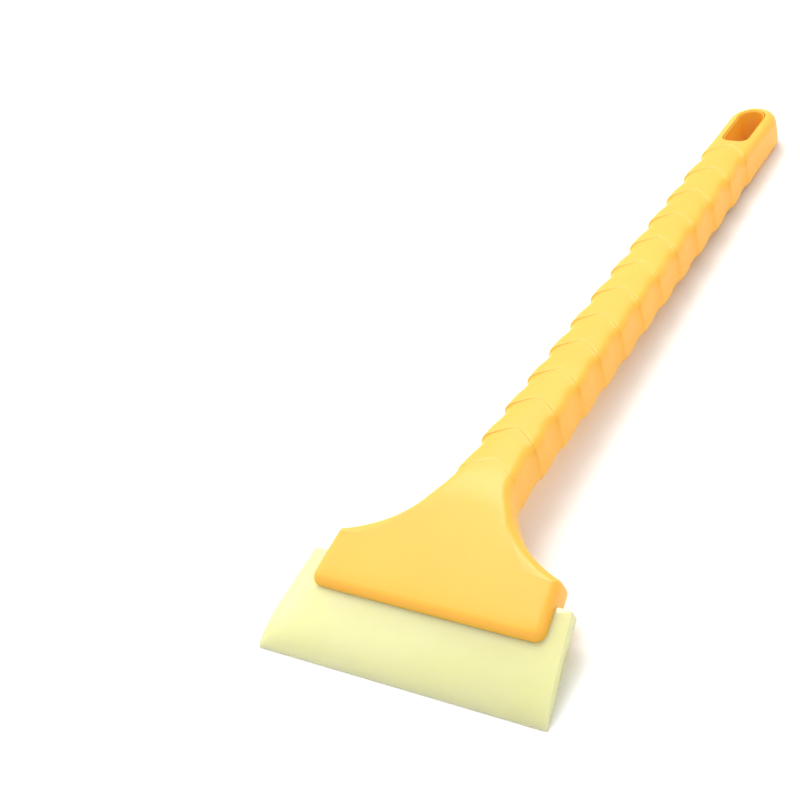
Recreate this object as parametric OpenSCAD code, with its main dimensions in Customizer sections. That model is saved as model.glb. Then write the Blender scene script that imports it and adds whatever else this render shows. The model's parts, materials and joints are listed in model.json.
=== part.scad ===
// Long-handled windshield ice scraper lying on a table, blade side down.
// +Y points to the hanging end, +Z is up, X is across, and the scraper is symmetric about X = 0.
// The origin is the middle of the bounding box, on the table.

/* [Grip] */
// Distance from one chevron step to the next
step_pitch = 17.2; // [12:0.1:24]
// Number of chevron steps down the grip
step_count = 13; // [4:1:18]
// Height of a chevron step
step_height = 1.2; // [0.4:0.1:2]
// Height of the first chevron step, which runs out into the neck
first_step_height = 0.6; // [0.2:0.1:2]
// How far the middle of a chevron runs back from its ends
chevron_point = 8.2; // [2:0.1:11]
// Half of the grip's width over the steps, beside the neck
grip_half_near = 11.4; // [9:0.1:16]
// Half of the grip's width over the steps, at the hanging end
grip_half_far = 10.4; // [9:0.1:16]
// Thickness of the grip over the steps, beside the neck
grip_thick_near = 17.2; // [12:0.1:24]
// Thickness of the grip over the steps, at the hanging end
grip_thick_far = 15.4; // [10:0.1:22]
// Radius of the grip's long edges
grip_edge_r = 3.6; // [1.5:0.1:5]

/* [Hanging end] */
// Length of plain grip from the last step to the tip
tip_length = 40.6; // [34:0.1:60]
// Depth to which the plain grip is drawn in from the size over the steps
tip_drop = 0.4; // [0.1:0.1:1.2]
// Radius of the tip's edges
tip_edge_r = 3; // [1:0.1:4]
// Width of the hanging slot
slot_w = 11.8; // [5:0.1:13]
// Length of the hanging slot
slot_l = 25.6; // [15:0.1:34]
// Distance from the hanging slot to the tip of the handle
slot_rim = 4.3; // [2.5:0.1:8]
// Corner radius of the hanging slot at the end nearer the blade
slot_corner_r = 3.6; // [1:0.1:5]

/* [Neck] */
// Angle between the head and the grip
head_pitch = 18.5; // [8:0.5:32]
// Length over which the neck bends down into the head
bend_length = 18; // [10:0.5:30]
// Distance from the first step forward to the start of the bend
bend_start = -5.5; // [-8:0.5:4]
// Distance from the first step back to where the neck starts to flare
flare_start = 9; // [2:0.5:16]
// Share of the flare that spreads early, with the rest close to the head
flare_share = 0.68; // [0.4:0.01:1]

/* [Head] */
// Distance from the first step to the head's back edge
shoulder_at = 31; // [26:0.5:60]
// Distance from the head's back edge to its front
head_depth = 23; // [18:0.1:36]
// Half of the head's width at its back corners
shoulder_half = 43.8; // [34:0.1:60]
// Half of the head's width at its front
head_half = 45.4; // [34:0.1:64]
// Width of the straight bit of back edge beside each back corner
shoulder_straight = 5.7; // [4:0.1:10]
// How far that straight bit runs forward on its way out
shoulder_slope = 1.2; // [0.6:0.1:3]
// Radius of the back corners
shoulder_r = 2.5; // [1:0.1:4]
// Radius of the front corners
front_corner_r = 4; // [1:0.1:6]
// Radius of the edges of the head
head_edge_r = 3.6; // [2:0.1:6]
// Radius of the lower front edge
front_lower_r = 1.2; // [0.4:0.1:2]
// Thickness of plastic above the blade
upper_lip = 3.7; // [3:0.1:9]
// Thickness of plastic below the blade
lower_lip = 3.6; // [2.8:0.1:6]

/* [Blade] */
// Thickness of the blade
blade_thick = 4.4; // [2:0.1:7]
// Length of blade in front of the head
blade_reach = 25.2; // [14:0.1:60]
// Depth of the blade's tang inside the head
tang_depth = 13.8; // [8:0.1:16.5]
// Width of the blade at its scraping edge
blade_front_w = 112.4; // [92:0.1:160]
// Width of the blade at its back edge
blade_back_w = 100.8; // [92:0.1:150]
// Length of the bevel behind the scraping edge
bevel_length = 8.9; // [3:0.1:13]
// Thickness left at the scraping edge
edge_thick = 0.7; // [0.3:0.1:1.5]
// Clearance above the tang
tang_gap = 0.1; // [0:0.05:0.3]

/* [Screws] */
// Number of blade screws
screw_count = 3; // [2:1:4]
// Distance between blade screws
screw_spacing = 30; // [14:1:36]
// Radius of a screw's shank
screw_r = 1.5; // [1:0.1:2]
// Radius of a screw's head
screw_head_r = 2.7; // [2.4:0.1:3.5]
// Height of a screw's head
screw_head_h = 1.4; // [0.8:0.1:1.6]
// Length of a screw's point
screw_point_l = 1.1; // [0.4:0.1:1.6]
// Width of the cross recess in a screw's head
cross_w = 0.8; // [0.5:0.1:1]
// Depth of a screw's head below the underside of the scraper's head
screw_sink = 0.4; // [0.2:0.1:0.6]
// Thickness of plastic left above the tip of a screw
screw_cover = 1.4; // [1:0.1:2.2]
// Spare depth of a pilot hole past its screw
pilot_spare = 0.3; // [0.1:0.1:0.6]
// Clearance round a shank where it passes the lower lip and the tang
shank_gap = 0.25; // [0.1:0.05:0.5]
// Clearance round a shank in its pilot hole
pilot_gap = 0.03; // [0.02:0.01:0.08]
// Clearance round a screw's head in its recess
head_gap = 0.3; // [0.1:0.05:0.6]

/* [Hidden] */

// Stations run along the top of the handle from the first chevron step, positive towards the blade
last_step = -(step_count - 1) * step_pitch;
tip_at = last_step - tip_length;
neck_end = shoulder_at - shoulder_slope;
front_at = shoulder_at + head_depth;
edge_at = front_at + blade_reach;
tang_end_at = front_at - tang_depth;
screws_at = front_at - tang_depth / 2;

// Depths below the top surface of the head
blade_top = upper_lip + tang_gap;
blade_bottom = blade_top + blade_thick;
head_thick = blade_bottom + lower_lip;
screw_seat = head_thick - screw_sink - screw_head_h;

// Sizes of the body where its sections change
bend_end = bend_start + bend_length;
bend_r = bend_length / head_pitch * 180 / PI;
neck_half = grip_half_near - first_step_height;
neck_thick = grip_thick_near - first_step_height;
flare_half = shoulder_half - shoulder_straight;
tip_half = grip_half_far - tip_drop;
tip_bottom = grip_thick_far - tip_drop;
front_edge_r = min(head_edge_r, upper_lip);

// Length over which a step rises, and over which the last chevron fades into the plain grip
step_run = 0.3;
fade_run = 1.6 * chevron_point;

// Largest share of a section's half thickness or half width that its rounded edge takes
edge_share = 0.8;

// Sections round each quarter turn, and rings along each stretch of the body
corner_steps = 4;
front_steps = 4;
shoulder_steps = 3;
neck_steps = 9;
tip_steps = 8;
tip_last_turn = 84;
round_fn = 48;

// Extra length of a cutter past the surface that it cuts
over = 1;

function mix(a, b, t) = a + (b - a) * t;

// Point of the body at a station: x across, v down from the top surface
function body_point(s, x, v) =
    let (a = head_pitch * min(1, max(0, (s - bend_start) / bend_length)))
    let (past = max(0, s - bend_end))
    let (y = -min(s, bend_start) - bend_r * sin(a) - past * cos(a))
    let (z = -bend_r * (1 - cos(a)) - past * sin(a))
    [x, y + v * sin(a), z - v * cos(a)];

// Rounded section as [x, v], from the middle of the top round by the right
function section(half, top, bottom, edge_r) =
    let (r = min(edge_r, edge_share * min((bottom - top) / 2, half)))
    let (n = corner_steps)
    let (arc = [for (i = [0:n]) r * [sin(90 * i / n) - 1, 1 - cos(90 * i / n)]])
    concat(
        [[0, top]],
        [for (i = [0:n]) [half + arc[i][0], top + arc[i][1]]],
        [for (i = [n:-1:0]) [half + arc[i][0], bottom - arc[i][1]]],
        [[0, bottom]],
        [for (i = [0:n]) [-half - arc[i][0], bottom - arc[i][1]]],
        [for (i = [n:-1:0]) [-half - arc[i][0], top + arc[i][1]]]
    );

// Ring of the skin: a section at a station, whose middle is swept back to a point
function ring(s, half, top, bottom, edge_r, point = 0) = [
    for (p = section(half, top, bottom, edge_r))
        body_point(s - point * (1 - abs(p[0]) / half), p[0], p[1])
];

// Front of the head, rounded over the top and under the bottom
function front_rings() = [
    for (i = [0:front_steps])
        let (inset = 1 - sin(90 * i / front_steps))
        ring(
            front_at - front_edge_r * (1 - cos(90 * i / front_steps)),
            head_half - front_corner_r * inset,
            front_edge_r * inset,
            head_thick - front_lower_r * inset,
            head_edge_r
        )
];

// Back corners of the head
function shoulder_rings() = [
    for (i = [0:shoulder_steps])
        let (a = 90 * i / shoulder_steps)
        ring(
            shoulder_at + shoulder_r * (1 - sin(a)),
            shoulder_half - shoulder_r * (1 - cos(a)),
            0,
            head_thick,
            head_edge_r
        )
];

// Neck: a concave flare from the grip to the head, whose rings turn from chevrons to straight
function neck_rings() = [
    for (i = [neck_steps:-1:0])
        let (s = mix(step_run, neck_end, i / neck_steps))
        let (t = (s + flare_start) / (neck_end + flare_start))
        let (spread = mix(pow(t, 6), pow(t, 2), flare_share))
        let (bent = min(1, s / bend_end))
        ring(
            s,
            mix(neck_half, flare_half, spread),
            mix(first_step_height, 0, bent),
            mix(neck_thick, head_thick, bent),
            mix(grip_edge_r, head_edge_r, bent),
            mix(chevron_point, 0, bent)
        )
];

// Grip: each step stands proud towards the head and falls away towards the hanging end
function grip_rings() = [
    for (i = [0:step_count - 1])
        for (low = (i == 0 ? [0] : [1, 0]))
            let (s = low * step_run - i * step_pitch)
            let (t = s / last_step)
            ring(
                s,
                mix(grip_half_near, grip_half_far, t) - low * step_height,
                low * step_height,
                mix(grip_thick_near, grip_thick_far, t) - low * step_height,
                grip_edge_r,
                chevron_point
            )
];

// Plain grip past the last step, where the last chevron fades out
function fade_rings() = [
    for (t = [0.5, 1])
        ring(
            last_step - t * fade_run,
            mix(grip_half_far, tip_half, t),
            mix(0, tip_drop, t),
            mix(grip_thick_far, tip_bottom, t),
            grip_edge_r,
            mix(chevron_point, 0, t)
        )
];

// Round tip of the handle, with its edges rounded too
function tip_rings() = [
    for (i = [0:tip_steps])
        let (a = min(tip_last_turn, 90 * i / tip_steps))
        let (left = tip_half * (1 - sin(a)))
        let (inset = max(0, tip_edge_r - left))
        let (trim = tip_edge_r - sqrt(pow(tip_edge_r, 2) - pow(inset, 2)))
        ring(tip_at + left, tip_half * cos(a), tip_drop + trim, tip_bottom - trim, grip_edge_r)
];

// Closed solid through a list of rings that all have the same number of points. Each end is closed
// by a fan round the middle of its ring, because the middle of a ring's flat top has a point too.
module skin(rings) {
    n = len(rings[0]);
    last = len(rings) - 1;
    front_middle = len(rings) * n;
    middles = [for (r = [rings[0], rings[last]]) (r[0] + r[n / 2]) / 2];
    walls = [
        for (k = [0:last - 1])
            for (i = [0:n - 1])
                let (j = (i + 1) % n)
                each [
                    [k * n + i, (k + 1) * n + i, k * n + j],
                    [k * n + j, (k + 1) * n + i, (k + 1) * n + j]
                ]
    ];
    caps = [
        for (i = [0:n - 1])
            let (j = (i + 1) % n)
            each [[i, j, front_middle], [last * n + j, last * n + i, front_middle + 1]]
    ];
    polyhedron(points = concat([for (r = rings) each r], middles), faces = concat(walls, caps));
}

// The scraper rests on the blade's lower front edge and under the tip of the handle
edge_point = body_point(edge_at, 0, blade_bottom);
rest_point = body_point(tip_at + tip_edge_r, 0, tip_bottom);
tip_point = body_point(tip_at, 0, (tip_drop + tip_bottom) / 2);
rest_tilt = atan2(edge_point[2] - rest_point[2], rest_point[1] - edge_point[1]);
table_z = edge_point[1] * sin(rest_tilt) + edge_point[2] * cos(rest_tilt);
edge_y = edge_point[1] * cos(rest_tilt) - edge_point[2] * sin(rest_tilt);
tip_y = tip_point[1] * cos(rest_tilt) - tip_point[2] * sin(rest_tilt);

// Lays the scraper on the table
module lie() {
    translate([0, -(edge_y + tip_y) / 2, -table_z]) rotate([rest_tilt, 0, 0]) children();
}

// Frame of the head at one of its stations: Y runs back and Z runs up from the top surface
module on_head(s) {
    translate(body_point(s, 0, 0)) rotate([head_pitch, 0, 0]) children();
}

// Places its child at each screw
module at_screws() {
    for (i = [0:screw_count - 1])
        translate([(i - (screw_count - 1) / 2) * screw_spacing, 0, 0]) on_head(screws_at) children();
}

// Round bar between two depths below the top surface
module bar(upper, lower, r) {
    translate([0, 0, -lower]) cylinder(h = lower - upper, r = r, $fn = round_fn);
}

// Outline of the hanging slot: round towards the tip, with small corners at its other end
module slot_outline() {
    half = slot_w / 2;
    far = slot_l - half;
    flat = half - slot_corner_r;
    translate([0, far]) circle(r = half, $fn = round_fn);
    translate([-half, slot_corner_r]) square([slot_w, far - slot_corner_r]);
    translate([-flat, 0]) square([2 * flat, far]);
    for (side = [-1, 1])
        translate([side * flat, slot_corner_r]) circle(r = slot_corner_r, $fn = round_fn);
}

// One moulding: grip, neck and head, with the hanging slot, the blade's slot and the screw holes
module handle() {
    color([1, 0.85, 0.3]) lie() difference() {
        skin(concat(front_rings(), shoulder_rings(), neck_rings(), grip_rings(), fade_rings(), tip_rings()));
        translate([0, -tip_at - slot_rim - slot_l, -grip_thick_near])
            linear_extrude(grip_thick_near + over) slot_outline();
        on_head(tang_end_at)
            translate([-head_half - over, -tang_depth - over, -blade_bottom])
            cube([2 * (head_half + over), tang_depth + over, blade_thick + tang_gap]);
        at_screws() {
            bar(screw_seat, head_thick + over, screw_head_r + head_gap);
            bar(blade_bottom - tang_gap, screw_seat + tang_gap, screw_r + shank_gap);
            bar(screw_cover - pilot_spare, blade_top, screw_r + pilot_gap);
        }
    }
}

// Flared plate with a bevel on its top side, drilled for the screws
module blade() {
    outline = [
        [-blade_front_w / 2, -blade_reach],
        [blade_front_w / 2, -blade_reach],
        [blade_back_w / 2, tang_depth],
        [-blade_back_w / 2, tang_depth]
    ];
    profile = [
        [-blade_reach, -blade_bottom],
        [tang_depth, -blade_bottom],
        [tang_depth, -blade_top],
        [bevel_length - blade_reach, -blade_top],
        [-blade_reach, edge_thick - blade_bottom]
    ];
    width = max(blade_front_w, blade_back_w);
    color([0.93, 0.94, 0.66]) lie() difference() {
        on_head(front_at) intersection() {
            translate([0, 0, -head_thick]) linear_extrude(head_thick) polygon(outline);
            translate([-width, 0, 0]) rotate([90, 0, 90]) linear_extrude(2 * width) polygon(profile);
        }
        at_screws() bar(blade_top - over, blade_bottom + over, screw_r + shank_gap);
    }
}

// Self-tapping screws with a low head and a cross recess
module blade_screws() {
    cross_l = 1.2 * screw_head_r;
    color([0.7, 0.71, 0.72]) lie() at_screws() difference() {
        union() {
            translate([0, 0, -screw_cover - screw_point_l])
                cylinder(h = screw_point_l, r1 = screw_r, r2 = screw_r / 2, $fn = round_fn);
            bar(screw_cover + screw_point_l, screw_seat, screw_r);
            bar(screw_seat, screw_seat + screw_head_h, screw_head_r);
        }
        for (turn = [0, 90])
            translate([0, 0, -screw_seat - screw_head_h])
            rotate([0, 0, turn])
            cube([cross_l, cross_w, screw_head_h], center = true);
    }
}

handle();
blade();
blade_screws();
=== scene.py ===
import json
import math

import bmesh
import bpy
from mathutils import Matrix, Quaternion, Vector


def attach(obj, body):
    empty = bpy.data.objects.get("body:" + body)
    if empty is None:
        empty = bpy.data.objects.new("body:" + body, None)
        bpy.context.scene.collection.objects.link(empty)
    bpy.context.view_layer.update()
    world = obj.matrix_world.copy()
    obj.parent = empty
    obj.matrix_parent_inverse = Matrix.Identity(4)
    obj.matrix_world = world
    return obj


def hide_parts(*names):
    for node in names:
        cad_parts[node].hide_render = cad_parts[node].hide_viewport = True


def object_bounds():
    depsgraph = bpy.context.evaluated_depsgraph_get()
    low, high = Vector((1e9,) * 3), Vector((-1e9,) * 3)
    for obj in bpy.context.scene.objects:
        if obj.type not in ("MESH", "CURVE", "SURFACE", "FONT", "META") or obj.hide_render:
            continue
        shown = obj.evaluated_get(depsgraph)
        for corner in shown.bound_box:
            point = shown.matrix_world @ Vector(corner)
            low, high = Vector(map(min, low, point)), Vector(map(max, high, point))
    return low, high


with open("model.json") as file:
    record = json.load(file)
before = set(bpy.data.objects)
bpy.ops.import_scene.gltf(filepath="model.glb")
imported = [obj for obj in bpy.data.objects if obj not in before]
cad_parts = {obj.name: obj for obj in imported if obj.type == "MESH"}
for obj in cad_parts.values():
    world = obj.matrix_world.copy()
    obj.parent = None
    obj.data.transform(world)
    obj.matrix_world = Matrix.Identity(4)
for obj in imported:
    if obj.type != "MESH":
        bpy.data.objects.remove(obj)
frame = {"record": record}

cad_low, cad_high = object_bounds()

# ---------------------------------------------------------------------------------------------
# Camera. It looks down across the blade from its right-hand corner, so that the handle runs
# away to the upper right. The lens is a short telephoto, and the camera leans a little.
# ---------------------------------------------------------------------------------------------
eye = Vector((0.2900, -0.4311, 0.4229))
looks_at = Vector((-0.0644, -0.0436, 0.0100))
lean = math.radians(-18.69)

bpy.ops.object.select_all(action="DESELECT")
bpy.ops.object.camera_add(location=eye)
camera = bpy.context.object
camera.name = "camera"
camera.rotation_mode = "QUATERNION"
camera.rotation_quaternion = (looks_at - eye).to_track_quat("-Z", "Y") @ Quaternion((0, 0, 1), lean)
camera.data.lens = 79.27
camera.data.sensor_width = 36
camera.data.clip_start = 0.01
bpy.context.scene.camera = camera

# ---------------------------------------------------------------------------------------------
# Studio. A plain pale table, a bright even surround and two large soft lamps: the main one is
# high behind the handle, and a weaker one stands at the left side.
# ---------------------------------------------------------------------------------------------


class Wire:
    """An output socket that can be used in sums. Each sum adds a Math node."""

    def __init__(self, tree, socket):
        self.tree = tree
        self.socket = socket

    def sum_of(self, operation, first, second):
        node = self.tree.nodes.new("ShaderNodeMath")
        node.operation = operation
        plug(self.tree, node.inputs[0], first)
        plug(self.tree, node.inputs[1], second)
        return Wire(self.tree, node.outputs[0])

    def __add__(self, other):
        return self.sum_of("ADD", self, other)

    def __radd__(self, other):
        return self.sum_of("ADD", other, self)

    def __sub__(self, other):
        return self.sum_of("SUBTRACT", self, other)

    def __rsub__(self, other):
        return self.sum_of("SUBTRACT", other, self)

    def __mul__(self, other):
        return self.sum_of("MULTIPLY", self, other)

    def __rmul__(self, other):
        return self.sum_of("MULTIPLY", other, self)


def plug(tree, socket, value):
    """Links a wire to a socket, or sets the socket's own value."""
    if isinstance(value, Wire):
        tree.links.new(value.socket, socket)
    else:
        socket.default_value = value


class Finish:
    """A material and its nodes, around one Principled shader."""

    def __init__(self, name):
        self.material = bpy.data.materials.new(name)
        self.material.use_nodes = True
        self.tree = self.material.node_tree
        self.shader = self.tree.nodes["Principled BSDF"]

    def node(self, kind, settings, sockets, output=0):
        """Adds a node: its settings first, then the values or wires of its sockets."""
        node = self.tree.nodes.new("ShaderNode" + kind)
        for name, value in settings.items():
            setattr(node, name, value)
        for name, value in sockets.items():
            plug(self.tree, node.inputs[name], value)
        return Wire(self.tree, node.outputs[output])

    def place(self, stretch=(1, 1, 1)):
        """The place on the piece, stretched for patterns that run one way."""
        place = self.node("TexCoord", {}, {}, "Object")
        return self.node("Mapping", {}, {"Vector": place, "Scale": stretch})

    def speckle(self, place, size, detail=2.0):
        """Noise from 0 to 1 with features of a given size."""
        sockets = {"Vector": place, "Scale": 1 / size, "Detail": detail}
        return self.node("TexNoise", {}, sockets, "Fac")

    def shade(self, **sockets):
        """Sets sockets of the shader, named with _ for each space."""
        for name, value in sockets.items():
            plug(self.tree, self.shader.inputs[name.replace("_", " ")], value)


def table_finish():
    finish = Finish("pale_table")
    cloud = finish.speckle(finish.place(), 0.12)
    colour = finish.node(
        "MixRGB", {}, {"Fac": cloud, "Color1": (0.91, 0.91, 0.91, 1), "Color2": (0.94, 0.94, 0.935, 1)}
    )
    finish.shade(Base_Color=colour, Roughness=0.55 + 0.1 * cloud, Specular_IOR_Level=0.25)
    return finish.material


def lamp(name, place, size, power, aim=(0, 0, 0)):
    """A soft square lamp that faces a point."""
    bpy.ops.object.select_all(action="DESELECT")
    bpy.ops.object.light_add(type="AREA", location=place)
    light = bpy.context.object
    light.name = name
    light.rotation_euler = (Vector(aim) - Vector(place)).to_track_quat("-Z", "Y").to_euler()
    light.data.size = size
    light.data.energy = power


bpy.ops.object.select_all(action="DESELECT")
bpy.ops.mesh.primitive_plane_add(size=6, location=(0, 0, cad_low.z))
table = bpy.context.object
table.name = "table"
table.data.materials.append(table_finish())

surround = bpy.data.worlds.new("surround")
bpy.context.scene.world = surround
surround.use_nodes = True
surround.node_tree.nodes["Background"].inputs["Color"].default_value = (1, 1, 1, 1)
surround.node_tree.nodes["Background"].inputs["Strength"].default_value = 0.94
lamp("main_lamp", (-0.45, 0.5, 1.2), 0.7, 12)
lamp("side_lamp", (-0.95, 0.1, 0.8), 1.2, 4)
bpy.context.scene.view_settings.view_transform = "Standard"

# ---------------------------------------------------------------------------------------------
# Handle. One piece of opaque yellow plastic, injection moulded: a grip with chevron steps, a
# neck that flares and bends down, and a wide head. The hanging slot is moulded through the tip,
# and the blade's slot runs across the head's front, open at both sides.
# ---------------------------------------------------------------------------------------------
mm = 0.001

# Stations run along the top from the first chevron, positive towards the blade
step_pitch = 17.2 * mm
step_count = 13
last_step = -(step_count - 1) * step_pitch
chevron_point = 8.2 * mm
grip_half = (11.4 * mm, 10.4 * mm)
grip_thick = (17.2 * mm, 15.4 * mm)
neck_thick = 16.9 * mm
flare_from = -9 * mm
flare_half = 38.1 * mm
flare_base = 10.8 * mm
flare_share = 0.68
bend_from = -5.5 * mm
bend_to = 12.5 * mm
neck_to = 29.8 * mm
shoulder_at = 31 * mm
shoulder_half = 43.8 * mm
shoulder_r = 2.5 * mm
head_half = 45.4 * mm
head_thick = 11.8 * mm
front_at = 54 * mm
front_corner_r = 4 * mm
edge_r = 3.6 * mm
front_lower_r = 2.2 * mm
plain_drop = 0.4 * mm
plain_from = last_step - 13.1 * mm
tip_at = last_step - 40.6 * mm
tip_half = 10.3 * mm
tip_thick = grip_thick[1] - plain_drop

# How deep the skin dips past a crest, on the sides, the top and the underside. It dips less low
# on the sides and at the middle of the top, and the first chevron has only a share of the dip.
side_step = 1.15 * mm
top_step = 0.95 * mm
under_step = 0.2 * mm
step_edge = 0.02
low_share = 0.55
middle_share = 0.3
arm_from = 2 * mm
first_share = 0.4
dip_share = 0.62
dip_skew = 0.65
swell_share = 0.12


def mix(a, b, t):
    return a + (b - a) * t


def ease(t):
    t = min(1, max(0, t))
    return t * t * (3 - 2 * t)


def scallop(share):
    """Height of the skin between two crests, from -1 to about 0, starting at the crest nearer the tip."""
    dip = math.sin(math.pi * min(1, (share / dip_share) ** dip_skew))
    swell = math.sin(math.pi * max(0, (share - dip_share) / (1 - dip_share)))
    return swell_share * swell - dip


def top_dip(share):
    """Depth of the top between two crests: a small sharp step down, then a long slope back up."""
    return top_step * min(share / step_edge, (1 - share) / (1 - step_edge))


def body_half(at):
    """Half of the width at a station, without the steps."""
    grip = mix(*grip_half, min(1, max(0, at / last_step)))
    flare = max(0, (at - flare_from) / (neck_to - flare_from))
    spread = mix(flare**6, flare**2, flare_share)
    base = mix(grip, flare_base, min(1, max(0, 1 - at / flare_from)))
    return base + spread * (flare_half - flare_base)


def body_bottom(at):
    """Depth of the underside at a station, without the steps."""
    if at < 0:
        return mix(*grip_thick, at / last_step)
    return mix(neck_thick, head_thick, ease(at / bend_to))


def body_rings():
    """Every ring of the body as (station, point of its chevron, half width, dip of its side, top, bottom)."""
    rings = []
    shares = [0, step_edge, 0.05, 0.09, 0.15, 0.24, 0.34, 0.44, 0.54, 0.62, 0.72, 0.86, 0.97]
    for crest in range(1, step_count):
        for share in shares:
            at = (share - crest) * step_pitch
            dip = scallop(share)
            bottom = body_bottom(at) + under_step * dip
            rings.append((at, chevron_point, body_half(at), side_step * dip, top_dip(share), bottom))
    for share in shares:
        at = share * bend_to
        dip = first_share * scallop(at / step_pitch)
        point = mix(chevron_point, 0, at / bend_to)
        bottom = body_bottom(at) + under_step * dip
        rings.append((at, point, body_half(at), side_step * dip, first_share * top_dip(share), bottom))
    flare_cuts = 16
    for cut in range(flare_cuts + 1):
        at = mix(bend_to, neck_to, math.sin(math.radians(90 * cut / flare_cuts)))
        rings.append((at, 0, body_half(at), 0, 0, head_thick))
    for turn in (90, 67.5, 45, 22.5, 0):
        turn = math.radians(turn)
        at = shoulder_at + shoulder_r * (1 - math.sin(turn))
        rings.append((at, 0, shoulder_half - shoulder_r * (1 - math.cos(turn)), 0, 0, head_thick))
    for turn in (90, 72, 54, 36, 18, 0):
        turn = math.radians(turn)
        at = front_at - front_corner_r * (1 - math.cos(turn))
        rings.append((at, 0, head_half - front_corner_r * (1 - math.sin(turn)), 0, 0, head_thick))
    for fade in (0.12, 0.3, 0.5, 0.75, 1):
        soft = ease(fade)
        at = mix(last_step, plain_from, fade)
        half = mix(grip_half[1], tip_half, soft)
        bottom = mix(grip_thick[1], tip_thick, soft)
        rings.append((at, mix(chevron_point, 0, fade), half, 0, mix(0, plain_drop, soft), bottom))
    for turn in range(0, 80, 8):
        turn = math.radians(turn)
        at = tip_at + tip_half * (1 - math.sin(turn))
        rings.append((at, 0, tip_half * math.cos(turn), 0, plain_drop, tip_thick))
    rings.append((tip_at, 0, tip_half * math.cos(math.radians(82)), 0, plain_drop, tip_thick))
    return rings


def pick(piece, kind, wanted):
    """In edit mode, selects the verts, edges or faces of a piece that pass a test."""
    bpy.ops.mesh.select_mode(type=kind)
    bpy.ops.mesh.select_all(action="DESELECT")
    mesh = bmesh.from_edit_mesh(piece.data)
    for item in {"VERT": mesh.verts, "EDGE": mesh.edges, "FACE": mesh.faces}[kind]:
        if wanted(item):
            item.select_set(True)
    mesh.select_flush_mode()
    bmesh.update_edit_mesh(piece.data)


def middle(item):
    """Middle of an edge or face."""
    return sum((v.co for v in item.verts), Vector()) / len(item.verts)


def new_box(name, low, high):
    """A box between two corners, left in edit mode."""
    bpy.ops.object.select_all(action="DESELECT")
    low, high = Vector(low), Vector(high)
    bpy.ops.mesh.primitive_cube_add(size=1, location=(low + high) / 2, scale=high - low)
    bpy.ops.object.transform_apply(location=True, rotation=True, scale=True)
    box = bpy.context.object
    box.name = name
    bpy.ops.object.mode_set(mode="EDIT")
    return box


def apply_all(piece):
    """Applies every modifier of a piece in turn."""
    bpy.ops.object.select_all(action="DESELECT")
    bpy.context.view_layer.objects.active = piece
    piece.select_set(True)
    for modifier in list(piece.modifiers):
        bpy.ops.object.modifier_apply(modifier=modifier.name)


def cut_away(piece, cutter):
    """Takes the shape of a cutter out of a piece, and the cutter with it."""
    modifier = piece.modifiers.new("cut", "BOOLEAN")
    modifier.operation = "DIFFERENCE"
    modifier.solver = "EXACT"
    modifier.object = cutter
    apply_all(piece)
    bpy.data.objects.remove(cutter)


def smooth(piece, angle):
    """Smooth shading with an edge kept wherever the skin turns by more than an angle."""
    bpy.ops.object.select_all(action="DESELECT")
    bpy.context.view_layer.objects.active = piece
    piece.select_set(True)
    bpy.ops.object.shade_smooth_by_angle(angle=math.radians(angle))


def half_body():
    """The right half of the body as a cage with straight sides, before it is bent."""
    wide, deep = grip_half[0], grip_thick[0]
    body = new_box("handle_body", (0, -front_at, -deep), (wide, -tip_at, 0))
    pick(body, "FACE", lambda f: f.normal.x < -0.9)
    bpy.ops.mesh.delete(type="FACE")

    # The outline's upper and lower edges are to be rounded
    pick(body, "EDGE", lambda e: abs(middle(e).z + deep / 2) > 0.4 * deep and middle(e).x > 0.1 * wide)
    bpy.ops.transform.edge_bevelweight(value=1)

    rings = body_rings()
    bpy.ops.mesh.select_all(action="SELECT")
    bpy.ops.mesh.bisect(plane_co=(arm_from, 0, 0), plane_no=(1, 0, 0), threshold=1e-7)
    for at, point, *_ in rings:
        if tip_at < at < front_at:
            bpy.ops.mesh.select_all(action="SELECT")
            bpy.ops.mesh.bisect(plane_co=(wide, -at, 0), plane_no=(point, wide, 0), threshold=1e-7)

    mesh = bmesh.from_edit_mesh(body.data)
    members = []
    for at, point, *_ in rings:
        across = Vector((point, wide, 0)).normalized()
        start = Vector((wide, -at, 0))
        members.append([i for i, v in enumerate(mesh.verts) if abs(across.dot(v.co - start)) < 0.005 * mm])
    bpy.ops.mesh.select_mode(type="VERT")

    def shape(ring, wanted, stretch, rise):
        """Widens and lifts the verts of a ring that pass a test."""
        bpy.ops.mesh.select_all(action="DESELECT")
        mesh = bmesh.from_edit_mesh(body.data)
        mesh.verts.ensure_lookup_table()
        for i in ring:
            mesh.verts[i].select_set(wanted(mesh.verts[i].co))
        bmesh.update_edit_mesh(body.data)
        bpy.ops.transform.resize(value=(stretch, 1, 1), center_override=(0, 0, 0))
        bpy.ops.transform.translate(value=(0, 0, rise))

    inside = 1.1 * arm_from
    for (at, point, half, dip, top, bottom), ring in zip(rings, members):
        middle_top = mix(0, top, middle_share) if point else top
        narrow = min(1, 0.5 * half / arm_from)
        upper, lower = (half + dip) / wide, (half + low_share * dip) / wide
        shape(ring, lambda co: co.z > -deep / 2 and co.x < inside, narrow, -middle_top)
        shape(ring, lambda co: co.z < -deep / 2 and co.x < inside, narrow, deep - bottom)
        shape(ring, lambda co: co.z > -deep / 2 and co.x > inside, upper, -top)
        shape(ring, lambda co: co.z < -deep / 2 and co.x > inside, lower, deep - bottom)
    return body


def turn_about_x(angle, pivot):
    """Turns what is selected by the right-hand rule. With no window the operator turns the other way."""
    bpy.ops.transform.rotate(value=-angle, orient_axis="X", center_override=pivot)


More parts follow.
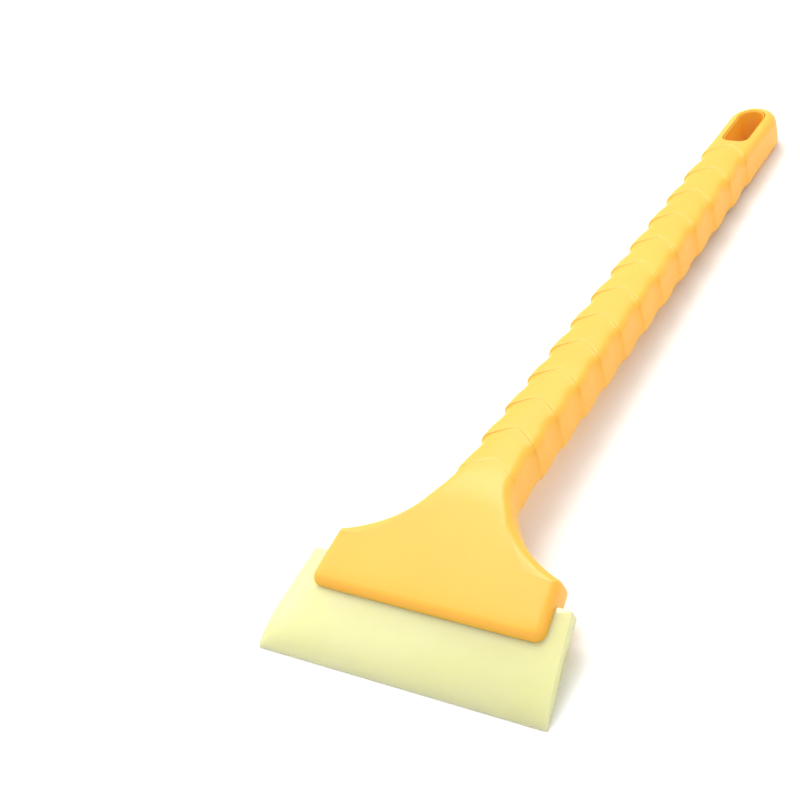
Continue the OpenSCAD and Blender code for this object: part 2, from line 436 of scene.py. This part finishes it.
def bend_down(piece, pitch):
    """Bends the neck and head down about the top surface, in small turns, and returns where the bend ends."""
    turns = 12
    length = (bend_to - bend_from) / turns
    mesh = bmesh.from_edit_mesh(piece.data)
    straight = [v.co.y for v in mesh.verts]
    pivot = Vector((0, -bend_from + length / 2, 0))
    for step in range(turns):
        angle = pitch * step / turns
        pivot += length * Vector((0, -math.cos(angle), -math.sin(angle)))
        station = bend_from + (step + 0.5) * length
        bpy.ops.mesh.select_all(action="DESELECT")
        mesh = bmesh.from_edit_mesh(piece.data)
        for v, y in zip(mesh.verts, straight):
            v.select_set(y < -station)
        bmesh.update_edit_mesh(piece.data)
        turn_about_x(pitch / turns, pivot)
    return pivot + length / 2 * Vector((0, -math.cos(pitch), -math.sin(pitch)))


mounts = {mount["name"]: mount for mount in frame["record"]["mounts"]}
hanging = mounts["hanging_slot"]
tilt = -math.atan2(hanging["axis"][1], hanging["axis"][2])
head_pitch = math.radians(18.5)

# The head and the plain tip are flat, so the edges across them are dissolved
handle = half_body()
beyond = bend_to + 0.1 * mm
pick(
    handle,
    "EDGE",
    lambda e: abs(e.verts[0].co.y - e.verts[1].co.y) < 0.001 * mm < abs(e.verts[0].co.x - e.verts[1].co.x)
    and (middle(e).y < -beyond or middle(e).y > -plain_from + 0.1 * mm)
    and -front_at + 0.1 * mm < middle(e).y < -tip_at - 0.1 * mm,
)
bpy.ops.mesh.dissolve_edges(use_verts=True)
pick(handle, "EDGE", lambda e: middle(e).y < -front_at + front_corner_r and middle(e).z < -0.9 * head_thick)
bpy.ops.transform.edge_bevelweight(value=front_lower_r / edge_r - 1)
bpy.ops.mesh.select_mode(type="VERT")
neck_foot = bend_down(handle, head_pitch)
bpy.ops.object.mode_set(mode="OBJECT")

mirror = handle.modifiers.new("mirror", "MIRROR")
mirror.use_clip = True
mirror.merge_threshold = 0.001 * mm
rounding = handle.modifiers.new("rounding", "BEVEL")
rounding.limit_method = "WEIGHT"
rounding.width = edge_r
rounding.segments = 4
rounding.use_clamp_overlap = False
finer = handle.modifiers.new("finer", "SUBSURF")
finer.levels = 1
finer.render_levels = 1
apply_all(handle)

# The blade's slot, the hanging slot and the screw holes are cut while the handle lies straight
blade_thick = 4.4 * mm
upper_lip = 3.7 * mm
blade_top = upper_lip + 0.1 * mm
blade_bottom = blade_top + blade_thick
tang_depth = 13.8 * mm
slot_w = 11.8 * mm
slot_l = 25.6 * mm
slot_rim = 4.3 * mm
slot_corner_r = 3.6 * mm
rim_r = 0.7 * mm
low_rim_r = 2.4 * mm
screw_xs = (-30 * mm, 0, 30 * mm)
screw_seat = 10 * mm
recess_r = 3 * mm
clear_r = 1.75 * mm
pilot_r = 1.53 * mm
pilot_top = 1.1 * mm
over = 1 * mm

# The screws' clear holes narrow in the gap just under the upper lip
hole_step = 0.05 * mm

head_front = neck_foot + (front_at - bend_to) * Vector((0, -math.cos(head_pitch), -math.sin(head_pitch)))
slot_middle = Vector((0, -tip_at - slot_rim - slot_l / 2, -(plain_drop + tip_thick) / 2))


def onto_head(piece):
    """Moves a piece made level, with the top of the head's front as its origin, to its place on the head."""
    bpy.ops.mesh.select_all(action="SELECT")
    turn_about_x(head_pitch, (0, 0, 0))
    bpy.ops.transform.translate(value=head_front)
    bpy.ops.object.mode_set(mode="OBJECT")


def lay_down(piece):
    """Lays a piece on the table with the rest of the scraper, by the place of the hanging slot."""
    bpy.ops.object.select_all(action="DESELECT")
    bpy.context.view_layer.objects.active = piece
    piece.select_set(True)
    bpy.ops.object.mode_set(mode="EDIT")
    bpy.ops.mesh.select_all(action="SELECT")
    turn_about_x(tilt, slot_middle)
    bpy.ops.transform.translate(value=Vector(hanging["pos_m"]) - slot_middle)
    bpy.ops.object.mode_set(mode="OBJECT")


def round_rim(cutter, side, radius):
    """Flares one end of the hanging slot's cutter, so that the slot gets a rounded rim."""
    pick(cutter, "FACE", lambda f: f.normal.z * side > 0.9)
    steps = 6
    for step in range(steps):
        low, high = (math.radians(90 * (step + i) / steps) for i in (0, 1))
        rise = radius * (math.sin(high) - math.sin(low))
        before, after = (radius * (1 - math.cos(turn)) - rim_r for turn in (low, high))
        across = (slot_w / 2 + after) / (slot_w / 2 + before)
        along = (slot_l / 2 + after) / (slot_l / 2 + before)
        bpy.ops.mesh.extrude_region_move(TRANSFORM_OT_translate={"value": (0, 0, side * rise)})
        bpy.ops.transform.resize(value=(across, along, 1), center_override=slot_middle)
    bpy.ops.mesh.extrude_region_move(TRANSFORM_OT_translate={"value": (0, 0, side * over)})


def hanging_cutter():
    wide, long = slot_w / 2 - rim_r, slot_l / 2 - rim_r
    cutter = new_box(
        "hanging_cutter",
        (-wide, slot_middle.y - long, -tip_thick + low_rim_r),
        (wide, slot_middle.y + long, -plain_drop - rim_r),
    )
    for side, radius, segments in ((1, wide - 0.01 * mm, 14), (-1, slot_corner_r, 8)):
        pick(
            cutter,
            "EDGE",
            lambda e: e.verts[0].co.xy == e.verts[1].co.xy
            and (middle(e).y - slot_middle.y) * side > 0.4 * slot_l,
        )
        bpy.ops.mesh.bevel(offset=radius, segments=segments, affect="EDGES")
    round_rim(cutter, 1, rim_r)
    round_rim(cutter, -1, low_rim_r)
    bpy.ops.object.mode_set(mode="OBJECT")
    return cutter


def blade_slot_cutter():
    wide = head_half + over
    cutter = new_box("blade_slot_cutter", (-wide, -over, -blade_bottom), (wide, tang_depth, -upper_lip))
    onto_head(cutter)
    return cutter


def disc_up(radius, inner, rise):
    """Narrows the selected round face to an inner radius, then pushes it up."""
    bpy.ops.mesh.inset(thickness=radius - inner)
    bpy.ops.mesh.extrude_region_move(TRANSFORM_OT_translate={"value": (0, 0, rise)})


def screw_hole_cutter(x):
    bpy.ops.object.select_all(action="DESELECT")
    bottom = head_thick + over
    bpy.ops.mesh.primitive_cylinder_add(
        vertices=40,
        radius=recess_r,
        depth=bottom - screw_seat,
        location=(x, tang_depth / 2, -(bottom + screw_seat) / 2),
    )
    bpy.ops.object.transform_apply(location=True, rotation=True, scale=True)
    cutter = bpy.context.object
    bpy.ops.object.mode_set(mode="EDIT")
    pick(cutter, "FACE", lambda f: f.normal.z > 0.9)
    disc_up(recess_r, clear_r, screw_seat - upper_lip - hole_step)
    disc_up(clear_r, pilot_r, upper_lip + hole_step - pilot_top)
    onto_head(cutter)
    return cutter


cut_away(handle, blade_slot_cutter())
cut_away(handle, hanging_cutter())
for x in screw_xs:
    cut_away(handle, screw_hole_cutter(x))
lay_down(handle)
smooth(handle, 32)


def yellow_plastic():
    """Satin-gloss yellow plastic: faint clouds of colour, and the fine grain of the mould."""
    finish = Finish("yellow_plastic")
    place = finish.place()
    clouds = finish.speckle(place, 30 * mm)
    colour = finish.node(
        "MixRGB", {}, {"Fac": clouds, "Color1": (0.89, 0.43, 0.034, 1), "Color2": (0.93, 0.48, 0.046, 1)}
    )
    grain = finish.speckle(place, 0.35 * mm, 3.0)
    waves = finish.speckle(place, 9 * mm)
    fine = finish.node("Bump", {}, {"Height": grain, "Strength": 0.25, "Distance": 0.02 * mm})
    bump = finish.node("Bump", {}, {"Height": waves, "Strength": 0.5, "Distance": 0.12 * mm, "Normal": fine})
    finish.shade(Base_Color=colour, Roughness=0.37 + 0.06 * grain + 0.05 * clouds, Normal=bump)
    finish.shade(IOR=1.54)
    finish.shade(Subsurface_Weight=0.3, Subsurface_Radius=(1.0, 0.5, 0.12), Subsurface_Scale=2.5 * mm)
    return finish.material


handle.data.materials.clear()
handle.data.materials.append(yellow_plastic())
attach(handle, "root")
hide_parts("handle")

# ---------------------------------------------------------------------------------------------
# Blade. A flared plate of pale, milky see-through plastic, moulded with a long bevel on its top
# side. Its tang fills the slot in the head, and three screws hold it there.
# ---------------------------------------------------------------------------------------------
blade_reach = 25.2 * mm
blade_front_half = 56.2 * mm
blade_back_half = 50.4 * mm
bevel_length = 8.9 * mm
edge_thick = 0.7 * mm
bevel_soft = 6 * mm
blade_corner_r = 0.8 * mm
blade_edge_r = 0.35 * mm


def make_blade():
    half = blade_back_half
    blade = new_box("blade_plate", (-half, -blade_reach, -blade_bottom), (half, tang_depth, -blade_top))
    pick(blade, "VERT", lambda v: v.co.y < 0)
    bpy.ops.transform.resize(value=(blade_front_half / half, 1, 1), center_override=(0, 0, 0))
    bpy.ops.mesh.select_all(action="SELECT")
    bevel_at = bevel_length - blade_reach
    bpy.ops.mesh.bisect(plane_co=(0, bevel_at, 0), plane_no=(0, 1, 0), threshold=1e-7)
    pick(blade, "VERT", lambda v: v.co.y < bevel_at - over and v.co.z > -blade_bottom + over)
    bpy.ops.transform.translate(value=(0, 0, edge_thick - blade_thick))
    pick(
        blade,
        "EDGE",
        lambda e: all(abs(v.co.y - bevel_at) < 0.01 * mm for v in e.verts)
        and middle(e).z > -blade_top - 0.01 * mm,
    )
    bpy.ops.mesh.bevel(offset=bevel_soft, segments=10, affect="EDGES")
    pick(
        blade,
        "EDGE",
        lambda e: e.verts[0].co.xy == e.verts[1].co.xy
        and e.calc_length() > 0.5 * mm
        and abs(middle(e).y - bevel_at) > bevel_soft + 0.1 * mm,
    )
    bpy.ops.mesh.bevel(offset=blade_corner_r, segments=4, affect="EDGES")
    bpy.ops.mesh.select_mode(type="EDGE")
    bpy.ops.mesh.select_all(action="DESELECT")
    bpy.ops.mesh.edges_select_sharp(sharpness=math.radians(40))
    bpy.ops.mesh.bevel(offset=blade_edge_r / 2, segments=2, affect="EDGES")
    onto_head(blade)
    return blade


def blade_plastic():
    """Pale see-through plastic, a little milky, with faint lines from the flow of the mould."""
    finish = Finish("blade_plastic")
    flow = finish.speckle(finish.place((1, 0.12, 1)), 6 * mm)
    haze = finish.speckle(finish.place(), 18 * mm)
    colour = finish.node(
        "MixRGB", {}, {"Fac": haze, "Color1": (0.97, 0.965, 0.44, 1), "Color2": (0.985, 0.98, 0.52, 1)}
    )
    bump = finish.node("Bump", {}, {"Height": flow, "Strength": 0.4, "Distance": 0.05 * mm})
    finish.shade(Base_Color=colour, Roughness=0.16 + 0.08 * haze, Normal=bump)
    finish.shade(IOR=1.49, Transmission_Weight=0.38)
    finish.shade(Subsurface_Weight=0.55, Subsurface_Radius=(1, 1, 0.5), Subsurface_Scale=8 * mm)
    return finish.material


blade = make_blade()
for x in screw_xs:
    cut_away(blade, screw_hole_cutter(x))
lay_down(blade)
smooth(blade, 30)
blade.data.materials.clear()
blade.data.materials.append(blade_plastic())
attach(blade, "root")
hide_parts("blade")

# ---------------------------------------------------------------------------------------------
# Screws. Three zinc-plated self-tapping screws with low pan heads and cross recesses. They are
# driven up through the lower lip and the tang, and their heads sit in recesses.
# ---------------------------------------------------------------------------------------------
screw_r = 1.5 * mm
screw_head_r = 2.7 * mm
screw_head_h = 1.4 * mm
screw_point_l = 1.1 * mm
screw_cover = 1.4 * mm
screw_edge_r = 0.6 * mm
cross_w = 0.8 * mm
cross_deep = 0.7 * mm


def make_screw(x):
    bpy.ops.object.select_all(action="DESELECT")
    bottom = screw_seat + screw_head_h
    bpy.ops.mesh.primitive_cylinder_add(
        vertices=40,
        radius=screw_head_r,
        depth=screw_head_h,
        location=(x, tang_depth / 2, -screw_seat - screw_head_h / 2),
    )
    bpy.ops.object.transform_apply(location=True, rotation=True, scale=True)
    screw = bpy.context.object
    bpy.ops.object.mode_set(mode="EDIT")
    pick(screw, "FACE", lambda f: f.normal.z > 0.9)
    disc_up(screw_head_r, screw_r, screw_seat - screw_cover - screw_point_l)
    bpy.ops.mesh.extrude_region_move(TRANSFORM_OT_translate={"value": (0, 0, screw_point_l)})
    bpy.ops.transform.resize(value=(0.5, 0.5, 1), center_override=(x, tang_depth / 2, 0))
    pick(screw, "EDGE", lambda e: all(v.co.z < -bottom + 0.01 * mm for v in e.verts))
    bpy.ops.mesh.bevel(offset=screw_edge_r, segments=4, affect="EDGES")
    bpy.ops.object.mode_set(mode="OBJECT")
    for wide, long in ((cross_w, 1.2 * screw_head_r), (1.2 * screw_head_r, cross_w)):
        reach = Vector((wide / 2, long / 2, cross_deep))
        centre = Vector((x, tang_depth / 2, -bottom))
        cross = new_box("cross", centre - reach, centre + reach)
        bpy.ops.object.mode_set(mode="OBJECT")
        cut_away(screw, cross)
    return screw


def zinc_steel():
    """Bright zinc on steel: fine turning marks and small cloudy patches."""
    finish = Finish("zinc_steel")
    patches = finish.speckle(finish.place(), 1.5 * mm)
    scratches = finish.speckle(finish.place((1, 8, 1)), 0.3 * mm)
    colour = finish.node(
        "MixRGB", {}, {"Fac": patches, "Color1": (0.50, 0.51, 0.53, 1), "Color2": (0.66, 0.67, 0.67, 1)}
    )
    bump = finish.node("Bump", {}, {"Height": scratches, "Strength": 0.3, "Distance": 0.01 * mm})
    finish.shade(Base_Color=colour, Roughness=0.25 + 0.15 * patches, Normal=bump)
    finish.shade(Metallic=1.0)
    return finish.material


screws = [make_screw(x) for x in screw_xs]
bpy.ops.object.select_all(action="DESELECT")
for screw in screws:
    screw.select_set(True)
bpy.context.view_layer.objects.active = screws[0]
bpy.ops.object.join()
screws = bpy.context.object
screws.name = "blade_screw_set"
bpy.ops.object.mode_set(mode="EDIT")
onto_head(screws)
lay_down(screws)
smooth(screws, 30)
screws.data.materials.clear()
screws.data.materials.append(zinc_steel())
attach(screws, "root")
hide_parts("blade_screws")
